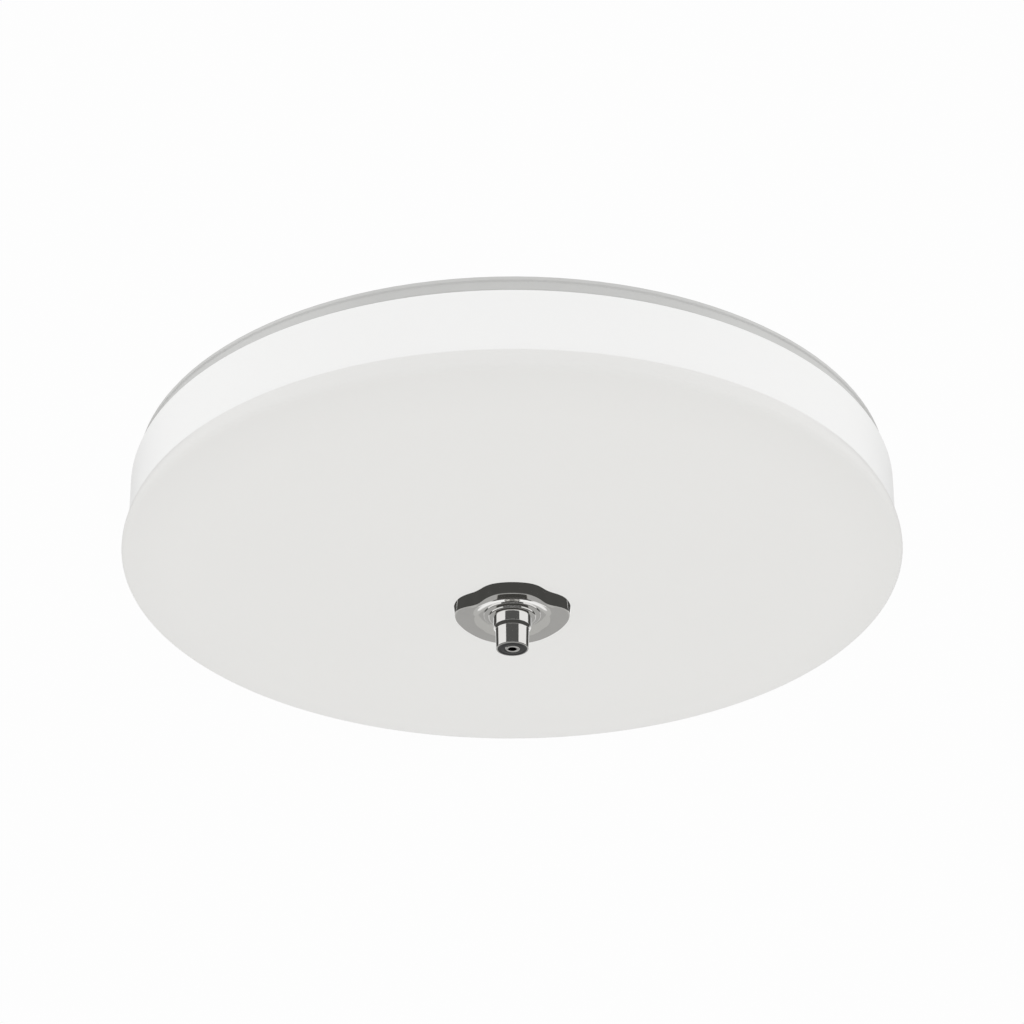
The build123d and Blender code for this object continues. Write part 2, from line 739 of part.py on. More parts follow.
with BuildPart() as scalloped_cap:
    for sheet, loft_mode in ((0, Mode.ADD), (cap_sheet, Mode.SUBTRACT)):
        for step in range(skirt_steps + 1):
            lean = pi / 2 * step / skirt_steps
            with BuildSketch(Plane.XY.offset(cap_top - (cap_height - sheet) * sin(lean))):
                with BuildLine():
                    Spline(*skirt_outline(lean, sheet), periodic=True)
                make_face()
        loft(mode=loft_mode)
    with BuildSketch(Plane.XY.offset(face_z)):
        Circle(dish_radius + cap_sheet)
    extrude(amount=dish_depth + cap_sheet, taper=45)
    with BuildSketch(Plane.XY.offset(face_z)):
        Circle(dish_radius)
    extrude(amount=dish_depth, taper=45, mode=Mode.SUBTRACT)
    with BuildSketch(Plane.XY.offset(cap_top)):
        Circle(rod_radius + joint_gap)
    extrude(amount=-cap_height, mode=Mode.SUBTRACT)
scalloped_cap.part.label = "scalloped_cap"
export_step(scalloped_cap.part, "parts/scalloped_cap.step")

# The gasket fills the space between the glass and the dished part of the cap.
cap_gasket_inner = glass_hole_radius + cap_gasket_margin
cap_gasket_outer = dish_radius - dish_depth
gasket_foot = dish_z + cap_sheet
with BuildPart() as cap_gasket:
    with BuildSketch(Plane.XY.offset(gasket_foot)):
        Circle(cap_gasket_outer)
        Circle(cap_gasket_inner, mode=Mode.SUBTRACT)
    extrude(amount=glass_under(cap_gasket_inner) - seat_gap - gasket_foot)
cap_gasket.part.label = "cap_gasket"
export_step(cap_gasket.part, "parts/cap_gasket.step")

with BuildPart() as stepped_ring:
    with BuildSketch(Plane.XY.offset(dish_z)):
        Circle(ring_radius)
    extrude(amount=-ring_step_height)
    with BuildSketch(Plane.XY.offset(dish_z - ring_step_height)):
        Circle(ring_step_radius)
    extrude(amount=-ring_step_height)
    with BuildSketch(Plane.XY.offset(dish_z)):
        Circle(rod_radius + joint_gap)
    extrude(amount=-2 * ring_step_height, mode=Mode.SUBTRACT)
    ring_edges = stepped_ring.edges().filter_by(GeomType.CIRCLE).group_by(Axis.Z)[0]
    fillet(ring_edges.sort_by(SortBy.RADIUS)[-1], ring_round)
stepped_ring.part.label = "stepped_ring"
export_step(stepped_ring.part, "parts/stepped_ring.step")

# ---- Knob and rod -----------------------------------------------------------------------

knob_top = dish_z - 2 * ring_step_height - seat_gap
knob_end = knob_top - knob_height
collar_end = knob_top - collar_height
barrel_top = collar_end - shoulder_height
thread_travel = knob_thread_turns * thread_pitch
thread_radius = rod_radius + thread_gap

with BuildPart() as finial_knob:
    with BuildSketch(Plane.XZ):
        with BuildLine():
            Polyline(
                (0, knob_top),
                (collar_radius, knob_top),
                (collar_radius, collar_end),
                (barrel_radius, barrel_top),
                (barrel_end_radius, knob_end),
                (0, knob_end),
                close=True,
            )
        make_face()
    revolve(axis=Axis.Z)
    fillet(finial_knob.edges().filter_by(GeomType.CIRCLE).sort_by(Axis.Z)[0], knob_round)
    fillet(finial_knob.edges().filter_by(GeomType.CIRCLE).group_by(SortBy.RADIUS)[-1], collar_round)
    with BuildSketch(Plane.XY.offset(knob_end)):
        Circle(end_disc_radius)
    extrude(amount=end_disc_thickness, mode=Mode.SUBTRACT)
    with BuildSketch(Plane.XY.offset(knob_end)):
        Circle(thread_radius)
    extrude(amount=knob_height, mode=Mode.SUBTRACT)
    with BuildSketch(Plane.XY.offset(knob_end + end_disc_thickness + thread_travel)):
        Circle(rod_radius + joint_gap)
    extrude(amount=knob_height, mode=Mode.SUBTRACT)
finial_knob.part.label = "finial_knob"
export_step(finial_knob.part, "parts/finial_knob.step")

with BuildPart() as knob_end_disc:
    with BuildSketch(Plane.XY.offset(knob_end + end_disc_thickness)):
        Circle(end_disc_radius - seat_gap)
        Circle(rod_radius + joint_gap, mode=Mode.SUBTRACT)
    extrude(amount=-end_disc_thickness)
knob_end_disc.part.label = "knob_end_disc"
export_step(knob_end_disc.part, "parts/knob_end_disc.step")

with BuildPart() as centre_rod:
    with BuildSketch(Plane.XY.offset(-rod_top_drop)):
        Circle(rod_radius)
        Circle(rod_bore_radius, mode=Mode.SUBTRACT)
    extrude(amount=knob_end + rod_top_drop)
centre_rod.part.label = "centre_rod"
export_step(centre_rod.part, "parts/centre_rod.step")
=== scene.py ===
import json
import math

import bmesh
import bpy
from mathutils import Matrix, Vector

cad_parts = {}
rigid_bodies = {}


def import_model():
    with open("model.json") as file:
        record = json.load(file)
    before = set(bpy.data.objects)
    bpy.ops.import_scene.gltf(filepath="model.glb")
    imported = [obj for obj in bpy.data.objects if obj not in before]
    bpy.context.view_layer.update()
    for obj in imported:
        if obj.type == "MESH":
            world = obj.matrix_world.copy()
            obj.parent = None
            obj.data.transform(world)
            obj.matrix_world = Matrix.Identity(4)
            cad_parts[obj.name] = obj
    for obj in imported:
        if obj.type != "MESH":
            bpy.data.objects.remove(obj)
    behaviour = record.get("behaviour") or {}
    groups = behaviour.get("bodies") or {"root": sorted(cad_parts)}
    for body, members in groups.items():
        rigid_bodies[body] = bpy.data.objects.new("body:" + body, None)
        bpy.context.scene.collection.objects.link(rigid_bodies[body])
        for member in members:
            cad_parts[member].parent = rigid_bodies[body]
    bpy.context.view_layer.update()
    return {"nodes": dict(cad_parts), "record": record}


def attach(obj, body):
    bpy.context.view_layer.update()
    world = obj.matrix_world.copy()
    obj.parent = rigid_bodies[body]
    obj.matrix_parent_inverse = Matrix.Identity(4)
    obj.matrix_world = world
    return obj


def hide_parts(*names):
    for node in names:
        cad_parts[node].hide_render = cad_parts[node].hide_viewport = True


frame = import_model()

mm = 0.001                    # pieces are drawn in millimetres and kept in metres
seatGap = 0.05                # millimetres between two pieces that sit on each other
scene = bpy.context.scene
nodes = frame["nodes"]
print("frame loaded:", len(nodes), "nodes")


def place(name, data):
    thing = bpy.data.objects.new(name, data)
    scene.collection.objects.link(thing)
    return thing


# Camera: below the lamp, looking up at it
cameraView = {
    "distance": 0.82,         # metres from the ceiling point over the lamp's middle
    "rise": 30.507,           # degrees, from the camera up to that point
    "look": 30.199,           # degrees, where the camera points
    "roll": -0.152,
    "lens": 65.53,
    "sensor": 36,
    "clip": (0.01, 20),
}

riseAngle, lookAngle = math.radians(cameraView["rise"]), math.radians(cameraView["look"])
lens = bpy.data.cameras.new("photoCamera")
lens.sensor_width, lens.lens = cameraView["sensor"], cameraView["lens"]
lens.clip_start, lens.clip_end = cameraView["clip"]
camera = place("photoCamera", lens)
spot = Vector((0, -math.cos(riseAngle), -math.sin(riseAngle))) * cameraView["distance"]
camera.matrix_world = (Matrix.Translation(spot) @ Matrix.Rotation(math.pi / 2 + lookAngle, 4, "X")
                       @ Matrix.Rotation(math.radians(cameraView["roll"]), 4, "Z"))
scene.camera = camera
scene.view_settings.view_transform = "Standard"
print("camera placed")


# Materials, written as Python expressions on shader sockets

class Signal:                 # a socket whose value goes through Math nodes
    def __init__(self, finish, socket):
        self.finish, self.socket = finish, socket

    def work(self, operation, first, second=None):
        return self.finish.add("Math", {"operation": operation}, {0: first, 1: second})

    def __add__(self, other):
        return self.work("ADD", self, other)

    def __radd__(self, other):
        return self.work("ADD", other, self)

    def __sub__(self, other):
        return self.work("SUBTRACT", self, other)

    def __rsub__(self, other):
        return self.work("SUBTRACT", other, self)

    def __mul__(self, other):
        return self.work("MULTIPLY", self, other)

    def __rmul__(self, other):
        return self.work("MULTIPLY", other, self)


class Finish:                 # a material, its Principled shader and what feeds it
    def __init__(self, name, colour, roughness, **plain):
        self.material = bpy.data.materials.new(name)
        self.material.use_nodes = True
        self.tree = self.material.node_tree
        self.shader = self.tree.nodes["Principled BSDF"]
        self.feed(self.shader.inputs["Base Color"], colour)
        self.feed(self.shader.inputs["Roughness"], roughness)
        for socket, value in plain.items():
            self.feed(self.shader.inputs[socket.replace("_", " ")], value)
        self.here = self.add("TexCoord", output="Object")

    def feed(self, socket, value):
        if isinstance(value, Signal):
            self.tree.links.new(value.socket, socket)
        elif value is not None:
            isColour = socket.type == "RGBA" and len(value) == 3
            socket.default_value = (*value, 1) if isColour else value

    def add(self, kind, settings=None, sockets=None, output=0):
        node = self.tree.nodes.new("ShaderNode" + kind)
        for key, value in (settings or {}).items():
            if key == "stops":
                stops = node.color_ramp.elements
                while len(stops) < len(value):
                    stops.new(0.5)
                for stop, (position, shade) in zip(stops, value):
                    stop.position, stop.color = position, (shade, shade, shade, 1)
            else:
                setattr(node, key, value)
        for key, value in (sockets or {}).items():
            self.feed(node.inputs[key], value)
        return Signal(self, node.outputs[output])

    def noise(self, perMetre, detail=3, rough=0.5, where=None):
        return self.add("TexNoise", None, {"Vector": where or self.here, "Scale": perMetre,
                                           "Detail": detail, "Roughness": rough})

    def ramp(self, value, stops):
        return self.add("ValToRGB", {"stops": stops}, {"Fac": value})

    def mix(self, mask, first, second):
        return self.add("Mix", {"data_type": "RGBA"}, {0: mask, 6: first, 7: second}, output=2)

    def axes(self):
        split = self.add("SeparateXYZ", None, {0: self.here})
        return [Signal(self, split.socket.node.outputs[i]) for i in range(3)]

    def share(self, value, low, high):     # 0 at low, 1 at high
        return self.add("MapRange", None, {0: value, 1: low, 2: high})

    def fromAxis(self):       # distance from the lamp's axis
        flat = self.add("VectorMath", {"operation": "MULTIPLY"}, {0: self.here, 1: (1, 1, 0)})
        return self.add("VectorMath", {"operation": "LENGTH"}, {0: flat}, output="Value")

    def rings(self, perMetre, detail=2):   # fine lines round the axis, as turning and buffing leave
        height = self.axes()[2]
        where = self.add("CombineXYZ", None, {0: self.fromAxis(), 1: height, 2: 0.0})
        return self.noise(perMetre, detail=detail, where=where)

    def relief(self, height, depth, strength=0.5):
        normal = self.add("Bump", None, {"Height": height, "Distance": depth, "Strength": strength})
        self.feed(self.shader.inputs["Normal"], normal)

    def colour(self, value):
        self.feed(self.shader.inputs["Base Color"], value)

    def gloss(self, value):
        self.feed(self.shader.inputs["Roughness"], value)


# In the finishes below, patches, grain and the like are noise scales per metre, and depths are in metres

def makeOpalGlass():          # white flashed glass, fire polished
    opal = {
        # the wall and the bowl are one glass: the wall's lighter colour and the bowl's darker one are painted
        # light and shade, for more light falling on the wall than on the bowl
        "wall": (0.94, 0.94, 0.935), "bowl": (0.866, 0.861, 0.847), "thin": 0.985, "patches": 9,
        # the corner factor and the heights after it paint shade: the bowl is darker just under the crease and
        # fades back further down
        "crease": -0.0329, "creaseBlur": 0.0003, "corner": 0.958, "creaseShadeFrom": (-0.0475, -0.038),
        "roughness": 0.42, "spread": 0.08, "grain": 60, "specular": 0.06, "ior": 1.5,
        "ripple": 14, "rippleShare": 0.8, "pits": 420, "pitShare": 0.02, "depth": 0.0006, "strength": 0.35,
    }
    f = Finish("opalGlass", opal["bowl"], opal["roughness"], IOR=opal["ior"],
               Specular_IOR_Level=opal["specular"])
    # painted light: above the crease the glass takes the lighter wall colour
    paintedLitWallShare = f.share(f.axes()[2], opal["crease"] - opal["creaseBlur"], opal["crease"] + opal["creaseBlur"])
    # painted shade under the crease, fading out towards the bottom
    creaseShadeShare = f.share(f.axes()[2], *opal["creaseShadeFrom"])
    corner = tuple(part * opal["corner"] for part in opal["bowl"])      # painted shade: the bowl is a little darker from the corner up to the crease
    patch = f.noise(opal["patches"], detail=2)
    wall, bowl, corner = (f.mix(patch, colour, tuple(part * opal["thin"] for part in colour))
                          for colour in (opal["wall"], opal["bowl"], corner))
    f.colour(f.mix(paintedLitWallShare, f.mix(creaseShadeShare, bowl, corner), wall))
    f.gloss(f.noise(opal["grain"], detail=4) * opal["spread"] + opal["roughness"] - opal["spread"] / 2)
    ripple = f.noise(opal["ripple"], detail=1) * opal["rippleShare"]
    f.relief(ripple + f.noise(opal["pits"], detail=2) * opal["pitShare"], opal["depth"], opal["strength"])
    return f


def makeNickel():             # polished plating
    nickel = {
        "bright": (0.80, 0.79, 0.77), "dull": (0.74, 0.73, 0.71), "roughness": 0.07,
        "smudges": 140, "smudgeSpread": 0.04, "lines": 2600, "lineSpread": 0.03, "polish": 0.03,
        "scratches": 700, "scratchShare": 0.4, "depth": 0.00001,
    }
    f = Finish("nickel", nickel["bright"], nickel["roughness"], Metallic=1.0)
    smudges = f.noise(nickel["smudges"], detail=5, rough=0.6)
    lines = f.rings(nickel["lines"])
    f.colour(f.mix(smudges, nickel["bright"], nickel["dull"]))
    f.gloss(nickel["roughness"] + lines * nickel["lineSpread"] + smudges * nickel["smudgeSpread"]
            - nickel["polish"])
    f.relief(lines + f.noise(nickel["scratches"], detail=2) * nickel["scratchShare"], nickel["depth"])
    return f


def makePaint():              # powder coat on steel: the pan is white, and its light grey body colour is painted shade, for the shade on the pan's edge at the ceiling
    paint = {
        # body: painted shade, a light grey standing in for a white pan in shade
        "body": (0.62, 0.62, 0.61), "handled": (0.57, 0.57, 0.56), "marks": 22,
        "markStops": ((0.5, 0), (0.8, 1)), "roughness": 0.4, "spread": 0.1, "patches": 90,
        "grain": 900, "depth": 0.00006, "ior": 1.5,
    }
    f = Finish("panPaint", paint["body"], paint["roughness"], IOR=paint["ior"])
    marks = f.ramp(f.noise(paint["marks"], detail=5), paint["markStops"])
    f.colour(f.mix(marks, paint["body"], paint["handled"]))
    f.gloss(paint["roughness"] + f.noise(paint["patches"]) * paint["spread"] - paint["spread"] / 2)
    f.relief(f.noise(paint["grain"], detail=2), paint["depth"])
    return f


def makeZinc():               # bright zinc plate with its cloudy spangle
    zinc = {
        "bright": (0.66, 0.67, 0.69), "grey": (0.50, 0.51, 0.53), "clouds": 160,
        "roughness": 0.32, "spread": 0.25, "polish": 0.1, "grain": 2200, "depth": 0.00003,
    }
    f = Finish("zincSteel", zinc["bright"], zinc["roughness"], Metallic=1.0)
    cloud = f.noise(zinc["clouds"], detail=6, rough=0.65)
    f.colour(f.mix(cloud, zinc["bright"], zinc["grey"]))
    f.gloss(zinc["roughness"] + cloud * zinc["spread"] - zinc["polish"])
    f.relief(f.noise(zinc["grain"]), zinc["depth"])
    return f


plain = {"patches": 180, "spread": 0.16, "grain": 1500, "depth": 0.00003}


def makePlain(name, body, worn, roughness):
    f = Finish(name, body, roughness)
    patch = f.noise(plain["patches"], detail=4)
    f.colour(f.mix(patch, body, worn))
    f.gloss(roughness + patch * plain["spread"] - plain["spread"] / 2)
    f.relief(f.noise(plain["grain"], detail=2), plain["depth"])
    return f


plainFinishes = {
    # slot: colour, colour where worn, roughness
    "earth_green": ((0.04, 0.32, 0.12), (0.03, 0.22, 0.09), 0.3),
    "grey_rubber": ((0.23, 0.23, 0.235), (0.30, 0.30, 0.30), 0.75),
    "clear_rubber": ((0.76, 0.76, 0.74), (0.70, 0.69, 0.66), 0.5),
    "white_mask": ((0.84, 0.85, 0.84), (0.78, 0.79, 0.78), 0.3),
    "green_board": ((0.03, 0.20, 0.08), (0.02, 0.14, 0.06), 0.35),
    "led_yellow": ((0.86, 0.70, 0.18), (0.80, 0.62, 0.12), 0.45),
    "ferrite": ((0.07, 0.07, 0.075), (0.11, 0.11, 0.115), 0.6),
    "coil_tape": ((0.85, 0.64, 0.10), (0.74, 0.52, 0.07), 0.28),
    "capacitor_sleeve": ((0.05, 0.06, 0.12), (0.07, 0.08, 0.15), 0.3),
    "film_red": ((0.52, 0.07, 0.045), (0.42, 0.05, 0.035), 0.35),
    "black_plastic": ((0.035, 0.035, 0.035), (0.06, 0.06, 0.06), 0.5),
    "white_plastic": ((0.80, 0.80, 0.78), (0.74, 0.73, 0.70), 0.45),
    "dark_disc": ((0.018, 0.018, 0.018), (0.03, 0.03, 0.03), 0.42),
    "cover_white": ((0.86, 0.86, 0.85), (0.80, 0.80, 0.79), 0.4),
}
finishes = {slot: makePlain(slot, *values) for slot, values in plainFinishes.items()}
finishes.update({"opal_glass": makeOpalGlass(), "nickel": makeNickel(), "pan_paint": makePaint(),
                 "zinc_steel": makeZinc()})
for part in frame["record"]["subparts"]:
    nodes[part["node"]].data.materials.clear()
    nodes[part["node"]].data.materials.append(finishes[part["material_slot"]].material)
print("finishes made:", len(finishes))


# Shaping: outlines are drawn in the XZ plane and turned round the lamp's axis

def roundCorner(bm, vert, size, segments, clamp=False):
    bmesh.ops.bevel(bm, geom=[vert], offset=size, offset_type="OFFSET", affect="VERTICES",
                    segments=segments, profile=0.5, material=-1, clamp_overlap=clamp)


# each point is a radius and a height, and at a round corner also its size and its steps
def drawLine(bm, points, closed=False):
    corners = [bm.verts.new((point[0], 0, point[1])) for point in points]
    for first, second in zip(corners, corners[1:]):
        bm.edges.new((first, second))
    if closed:
        bm.edges.new((corners[-1], corners[0]))
    for corner, point in zip(corners, points):
        if len(point) > 2:
            roundCorner(bm, corner, point[2], point[3] if len(point) > 3 else 4)


def arcOn(bm, vert, centre, angle, steps):   # goes on from a vertex along an arc
    made = bmesh.ops.spin(bm, geom=[vert], cent=(centre[0], 0, centre[1]), axis=(0, 1, 0), angle=angle,
                          steps=steps)
    return next(v for v in made["geom_last"] if isinstance(v, bmesh.types.BMVert))


def turnRound(bm, steps):
    bmesh.ops.spin(bm, geom=bm.verts[:] + bm.edges[:], cent=(0, 0, 0), axis=(0, 0, 1), angle=math.tau,
                   steps=steps, use_merge=True)
    bmesh.ops.remove_doubles(bm, verts=bm.verts, dist=1e-4)
    bmesh.ops.recalc_face_normals(bm, faces=bm.faces)


def meshFrom(name, bm, finish):
    mesh = bpy.data.meshes.new(name)
    bm.to_mesh(mesh)
    bm.free()
    mesh.materials.append(finish.material)
    return mesh


def keep(name, bm, slot, body, *replaced, smooth=35):
    bmesh.ops.scale(bm, vec=(mm, mm, mm), verts=bm.verts)
    mesh = meshFrom(name, bm, finishes[slot])
    mesh.shade_smooth()
    mesh.set_sharp_from_angle(angle=math.radians(smooth))
    piece = place(name, mesh)
    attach(piece, body)
    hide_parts(*replaced)


# Glass shade: points are radius and height
glass = {
    "bulge": (165.0, -39.5), "crease": (162.95, -32.9), "rim": (164.3, -7.0), "bottom": -53.2,
    "wall": 4.0, "hole": 6.5, "shoulder": 200.0, "flat": 2800.0,        # the last two are radii of arcs
    "corner": 3.0, "innerCorner": 6.0, "rimRound": 1.5, "creaseRound": 0.35,
    "bowlSteps": 24, "bulgeSteps": 10, "creaseSteps": 8, "steps": 192,
}
bulgeR, bulgeZ = glass["bulge"]
creaseR, creaseZ = glass["crease"]
rimR, rimZ = glass["rim"]
cornerRadius = bulgeR - glass["corner"]
bowlCentre = glass["flat"] + glass["bottom"]
# the shoulder's circle touches the flat bowl and the corner: its middle is where these two distances meet
toBowl, toCorner = glass["flat"] - glass["shoulder"], glass["shoulder"] - glass["corner"]
span = math.hypot(cornerRadius, bowlCentre - bulgeZ)
along = (toBowl ** 2 - toCorner ** 2 + span ** 2) / (2 * span)
aside = math.sqrt(toBowl ** 2 - along ** 2)
acrossR, acrossZ = cornerRadius / span, (bulgeZ - bowlCentre) / span
shoulderCentre = (acrossR * along + acrossZ * aside, bowlCentre + acrossZ * along - acrossR * aside)
bowlEdge = math.atan2(shoulderCentre[0], bowlCentre - shoulderCentre[1])     # angles from straight down
cornerEdge = math.atan2(cornerRadius - shoulderCentre[0], shoulderCentre[1] - bulgeZ)


def glassUnder(radius):       # height of the glass's underside
    return bowlCentre - math.sqrt(glass["flat"] ** 2 - radius ** 2)


bm = bmesh.new()
inset, drop = bulgeR - creaseR, creaseZ - bulgeZ
upperArc = (inset ** 2 + drop ** 2) / (2 * inset)          # from the bulge up to the crease
underEdge = bm.verts.new((glass["hole"], 0, glassUnder(glass["hole"])))
shoulder = arcOn(bm, underEdge, (0, bowlCentre), math.asin(glass["hole"] / glass["flat"]) - bowlEdge,
                 glass["bowlSteps"])
tangent = arcOn(bm, shoulder, shoulderCentre, bowlEdge - cornerEdge, glass["bowlSteps"])
bulge = arcOn(bm, tangent, (cornerRadius, bulgeZ), cornerEdge - math.pi / 2, glass["bulgeSteps"])
crease = arcOn(bm, bulge, (bulgeR - upperArc, bulgeZ), -math.asin(drop / upperArc), glass["creaseSteps"])
footR = creaseR - glass["wall"]                            # inside the wall, down to the bowl
innerFlat, innerShoulder = glass["flat"] - glass["wall"], glass["shoulder"] - glass["wall"]
footTurn = math.asin((footR - shoulderCentre[0]) / innerShoulder)
footZ = shoulderCentre[1] - innerShoulder * math.cos(footTurn)
chain = [crease]
for r, z in ((rimR, rimZ), (rimR - glass["wall"], rimZ), (footR, creaseZ), (footR, footZ)):
    chain.append(bm.verts.new((r, 0, z)))
    bm.edges.new(chain[-2:])
rimOuter, rimInner, bowlFoot = chain[1], chain[2], chain[4]
innerEdge = arcOn(bm, bowlFoot, shoulderCentre, footTurn - bowlEdge, glass["bowlSteps"])
overEdge = arcOn(bm, innerEdge, (0, bowlCentre), bowlEdge - math.asin(glass["hole"] / innerFlat),
                 glass["bowlSteps"])
bm.edges.new((overEdge, underEdge))
roundCorner(bm, rimOuter, glass["rimRound"], 6)
roundCorner(bm, rimInner, glass["rimRound"], 6)
roundCorner(bm, crease, glass["creaseRound"], 3)
roundCorner(bm, bowlFoot, glass["innerCorner"], 8, clamp=True)
turnRound(bm, glass["steps"])
keep("glassShade", bm, "opal_glass", "shade", "glass_shade")
print("glass shade made")


# Lobed cap
cap = {
    "lobes": 4, "foot": 24.95, "edge": 24.5, "edgeRound": 0.5, "height": 4.4, "sheet": 0.45, "hole": 3.475,
    "seat": 21.9,                            # the radius at which its foot meets the glass
    # a near notch: degrees from the camera's side, depth and narrowness; the far ones are farShare as deep
    "footNotch": (42, 2.3, 3.5), "faceNotch": (49, 4.1, 1.8), "farShare": 0.2, "farBlend": 0.5,
    "nearLean": 1.2, "sideLift": 1.2, "sideNarrow": 4,
    "dish": 17.6, "dishFloor": 12.6, "dishDepth": 2.3, "dishRound": 2.1,
    "faceLines": (0.3, 0.5, 0.7, 0.88), "skirtLines": (0.16, 0.3, 0.5, 0.7, 0.85, 1), "steps": 256,
}
capTop = glassUnder(cap["seat"]) - seatGap
faceZ = capTop - cap["height"]
dishZ = faceZ + cap["dishDepth"]
rimWidth = cap["edge"] - cap["dish"]
evenAngle = 180 / cap["lobes"]               # where a notch is when all the lobes are as wide
bm = bmesh.new()
face = [(cap["dish"] + rimWidth * share, faceZ) for share in cap["faceLines"]]
skirt = [(cap["edge"] + (cap["foot"] - cap["edge"]) * share, faceZ + cap["height"] * share)
         for share in cap["skirtLines"]]
drawLine(bm, [(cap["hole"], dishZ), (cap["dishFloor"], dishZ, cap["dishRound"], 6),
              (cap["dish"], faceZ, cap["dishRound"], 8), *face,
              (cap["edge"], faceZ, cap["edgeRound"], 6), *skirt])
turnRound(bm, cap["steps"])
for vert in bm.verts:                        # the lobes, the first one towards the camera
    radius = math.hypot(vert.co.x, vert.co.y)
    turn = math.atan2(vert.co.x, -vert.co.y)
    rise = min(1, (capTop - vert.co.z) / cap["height"])
    outer = min(1, max(0, (radius - cap["dish"]) / rimWidth))
    angle, depth, narrow = (low + (high - low) * rise for low, high in zip(cap["footNotch"], cap["faceNotch"]))
    skew = math.radians(angle - evenAngle) / math.sin(math.radians(2 * angle))
    notch = ((1 - math.cos(cap["lobes"] * (turn - skew * math.sin(2 * turn)))) / 2) ** narrow
    nearness = min(1, max(0, math.cos(turn) + cap["farBlend"]))
    share = cap["farShare"] + (1 - cap["farShare"]) * nearness
    pull = outer * (depth * share * notch + cap["nearLean"] * rise * max(0, math.cos(turn)))
    vert.co.x *= 1 - pull / radius
    vert.co.y *= 1 - pull / radius
    vert.co.z += cap["sideLift"] * outer * max(0, rise) * math.sin(turn) ** cap["sideNarrow"]
bmesh.ops.recalc_face_normals(bm, faces=bm.faces)
bmesh.ops.solidify(bm, geom=bm.faces[:], thickness=cap["sheet"])
keep("lobedCap", bm, "nickel", "shade", "scalloped_cap")
print("cap made")


# Turned ring under the cap
ring = {"radius": 12.1, "step": 10.0, "height": 1.0, "hole": 3.475, "rounds": (0.25, 0.15, 0.4), "steps": 128}
stepZ, ringEnd = dishZ - ring["height"], dishZ - 2 * ring["height"]
bm = bmesh.new()
drawLine(bm, (
    (ring["hole"], dishZ), (ring["radius"], dishZ), (ring["radius"], stepZ, ring["rounds"][0]),
    (ring["step"], stepZ, ring["rounds"][1]), (ring["step"], ringEnd, ring["rounds"][2]),
    (ring["hole"], ringEnd),
), closed=True)
turnRound(bm, ring["steps"])
keep("turnedRing", bm, "nickel", "shade", "stepped_ring")


# Knob: a short line next to each round corner keeps the long faces evenly shaded
knob = {
    "bore": 3.255, "height": 14.5, "collar": 8.0, "collarHeight": 4.6, "collarLine": 0.6,
    "topRound": 0.25, "collarRound": 0.3, "shoulder": 1.0, "shoulderRound": 0.25,
    "barrel": 7.1, "barrelLine": 0.7, "barrelEnd": 6.9, "endLine": 0.9, "endRound": 0.3, "lineTaper": 0.01,
    "recess": 6.2, "recessDepth": 0.8, "recessRound": 0.1, "steps": 128,
}
knobTop = ringEnd - seatGap
knobEnd = knobTop - knob["height"]
collarEnd = knobTop - knob["collarHeight"]
barrelTop = collarEnd - knob["shoulder"]
recessTop = knobEnd + knob["recessDepth"]
bm = bmesh.new()
drawLine(bm, (
    (knob["bore"], knobTop), (knob["collar"], knobTop, knob["topRound"]),
    (knob["collar"], knobTop - knob["collarLine"]), (knob["collar"], collarEnd + knob["collarLine"]),
    (knob["collar"], collarEnd, knob["collarRound"]), (knob["barrel"], barrelTop, knob["shoulderRound"]),
    (knob["barrel"] - knob["lineTaper"], barrelTop - knob["barrelLine"]),
    (knob["barrelEnd"] + knob["lineTaper"], knobEnd + knob["endLine"]),
    (knob["barrelEnd"], knobEnd, knob["endRound"], 6), (knob["recess"], knobEnd, knob["recessRound"]),
    (knob["recess"], recessTop), (knob["bore"], recessTop),
), closed=True)
turnRound(bm, knob["steps"])
keep("turnedKnob", bm, "nickel", "finial", "finial_knob")


# Dark disc in the knob's end
disc = {"radius": 6.15, "hole": 3.225, "round": 0.12, "groove": 4.9, "grooveWidth": 0.5, "grooveDepth": 0.12,
        "grooveRound": (0.05, 2), "steps": 128}
discFace = knobEnd + seatGap
grooveFloor = discFace + disc["grooveDepth"]
grooveEdge = disc["groove"] + disc["grooveWidth"]
bm = bmesh.new()
drawLine(bm, (
    (disc["hole"], recessTop), (disc["radius"], recessTop), (disc["radius"], discFace, disc["round"]),
    (grooveEdge, discFace, *disc["grooveRound"]), (grooveEdge, grooveFloor, *disc["grooveRound"]),
    (disc["groove"], grooveFloor, *disc["grooveRound"]), (disc["groove"], discFace, *disc["grooveRound"]),
    (disc["hole"], discFace, disc["round"]),
), closed=True)
turnRound(bm, disc["steps"])
keep("knobDisc", bm, "dark_disc", "finial", "knob_end_disc")


# Threaded rod: one tooth turned up as a helix, cut flat at both ends and bored
rod = {"crest": 3.175, "root": 2.72, "pitch": 0.9407, "top": -0.4, "bore": 1.85, "boreSteps": 48, "steps": 24,
       "spareTurns": 4, "sharp": 30}
tooth = rod["pitch"] / 4
bm = bmesh.new()
drawLine(bm, ((rod["crest"], 0.5 * tooth), (rod["root"], 1.75 * tooth), (rod["root"], 2.25 * tooth),
              (rod["crest"], 3.5 * tooth), (rod["crest"], 4.5 * tooth)))
bmesh.ops.translate(bm, vec=(0, 0, knobEnd - 2 * rod["pitch"]), verts=bm.verts)
turns = math.ceil((rod["top"] - knobEnd) / rod["pitch"]) + rod["spareTurns"]
bmesh.ops.spin(bm, geom=bm.verts[:] + bm.edges[:], cent=(0, 0, 0), axis=(0, 0, 1), angle=math.tau * turns,
               dvec=(0, 0, rod["pitch"] / rod["steps"]), steps=rod["steps"] * turns)
bmesh.ops.remove_doubles(bm, verts=bm.verts, dist=1e-3)
